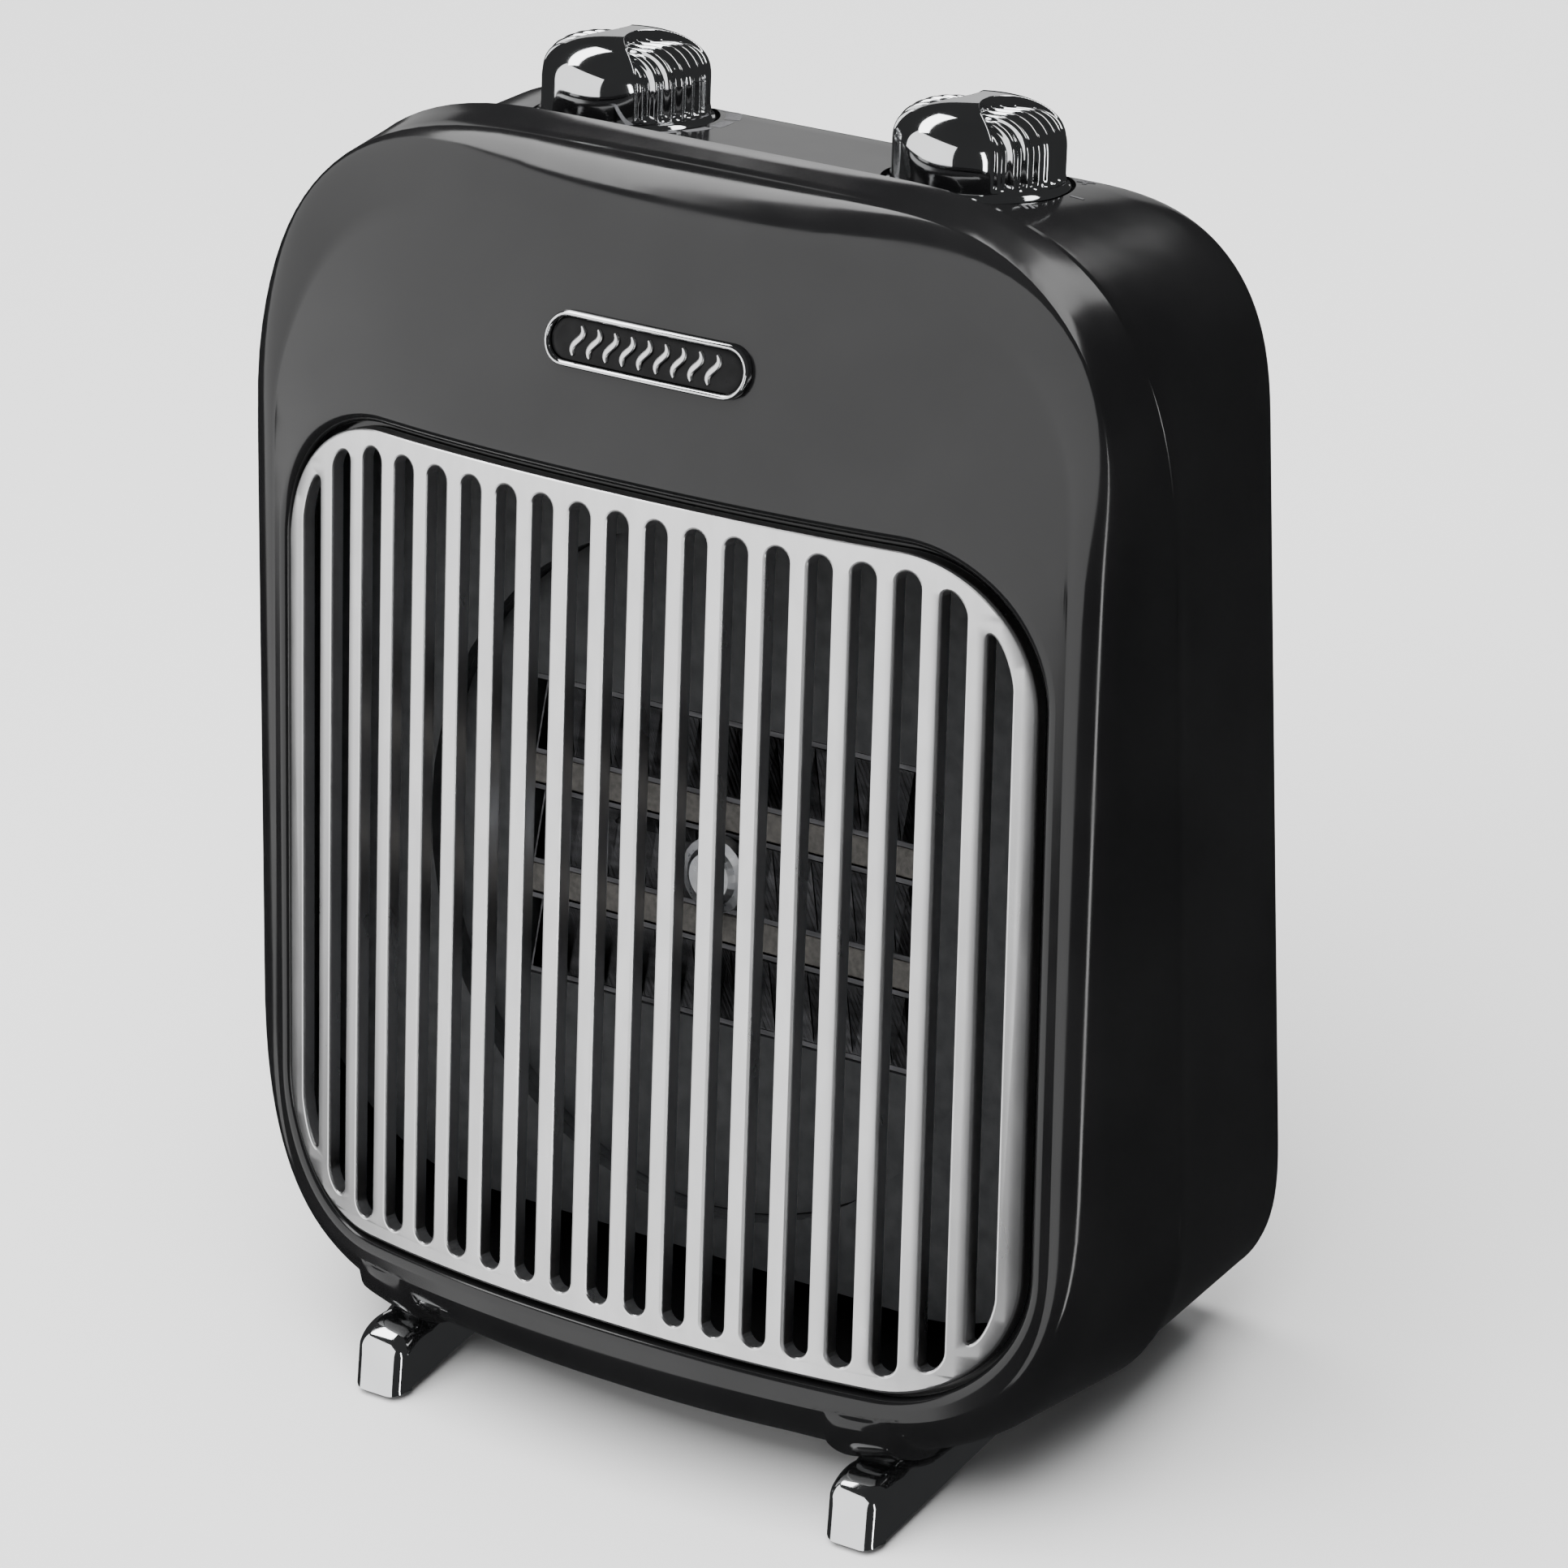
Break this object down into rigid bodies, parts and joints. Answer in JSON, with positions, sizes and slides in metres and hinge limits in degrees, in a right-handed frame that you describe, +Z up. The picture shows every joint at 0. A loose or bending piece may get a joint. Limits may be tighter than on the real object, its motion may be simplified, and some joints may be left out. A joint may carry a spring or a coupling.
{
  "type": "ceramic fan heater",
  "caption": "Compact portable ceramic fan heater: rounded glossy black case leaning back on chrome skids, slotted satin front grille, fluted chrome control knobs on top.",
  "frame": {"origin": "centre of the bounding box on the floor, under the case, at the soles of the pads", "axes": "+Z up; +Y from the front grille to the rear intake, level; +X to the right of someone facing the grille; the case leans back 17.5 degrees about X"},
  "size_m": [0.216, 0.1481, 0.2595],
  "materials": {
    "gloss_black": "polished, high gloss",
    "satin_metal": "satin, fine grained",
    "chrome": "mirror plated",
    "dark_moulding": "fine texture",
    "fin_aluminium": "rolled strip",
    "ceramic": "sintered, matt",
    "plated_steel": "zinc plated",
    "rubber": "matt",
    "switch_moulding": "phenolic moulding",
    "pale_moulding": "nylon moulding"
  },
  "bodies": {
    "case": {"rear_shell": "gloss_black", "front_fascia": "gloss_black", "front_grille": "satin_metal", "intake_grille": "dark_moulding", "duct_panel": "dark_moulding", "fan_shroud": "dark_moulding", "heater_frame": "dark_moulding", "fin_bank_1": "fin_aluminium", "fin_bank_2": "fin_aluminium", "fin_bank_3": "fin_aluminium", "ceramic_bar_1": "ceramic", "ceramic_bar_2": "ceramic", "thermal_cutout": "plated_steel", "fan_motor": "plated_steel", "motor_bracket": "plated_steel", "terminal_block": "pale_moulding", "thermostat_body": "pale_moulding", "mode_switch": "switch_moulding", "tip_over_switch": "switch_moulding", "badge_rim": "chrome", "badge_plate": "dark_moulding", "skid_left": "chrome", "skid_right": "chrome", "pad_left_front": "rubber", "pad_left_rear": "rubber", "pad_right_front": "rubber", "pad_right_rear": "rubber", "cord_gland": "rubber", "rear_screw_1": "plated_steel", "rear_screw_2": "plated_steel", "rear_screw_3": "plated_steel", "rear_screw_4": "plated_steel"},
    "thermostat_dial": {"thermostat_knob": "chrome", "thermostat_stem": "plated_steel"},
    "mode_dial": {"mode_knob": "chrome", "mode_stem": "plated_steel"},
    "fan": {"fan_impeller": "dark_moulding", "motor_shaft": "plated_steel"},
    "plunger": {"tip_over_plunger": "pale_moulding"}
  },
  "joints": [
    {"name": "thermostat_turn", "type": "hinge", "parent": "case", "child": "thermostat_dial", "pos_m": [-0.044, 0.05454, 0.23961], "axis": [0, 0.3007, 0.9537], "range_deg": [-270, 0]},
    {"name": "mode_turn", "type": "hinge", "parent": "case", "child": "mode_dial", "pos_m": [0.044, 0.05454, 0.23961], "axis": [0, 0.3007, 0.9537], "range_deg": [-135, 0]},
    {"name": "fan_spin", "type": "hinge", "parent": "case", "child": "fan", "pos_m": [0, 0.0094, 0.10076], "axis": [0, 0.9537, -0.3007], "continuous": true},
    {"name": "tip_over_slide", "type": "slide", "parent": "case", "child": "plunger", "axis": [0, 0, 1], "range_m": [-0.003, 0], "stiffness_N_per_m": 40, "springref_m": -0.006}
  ]
}
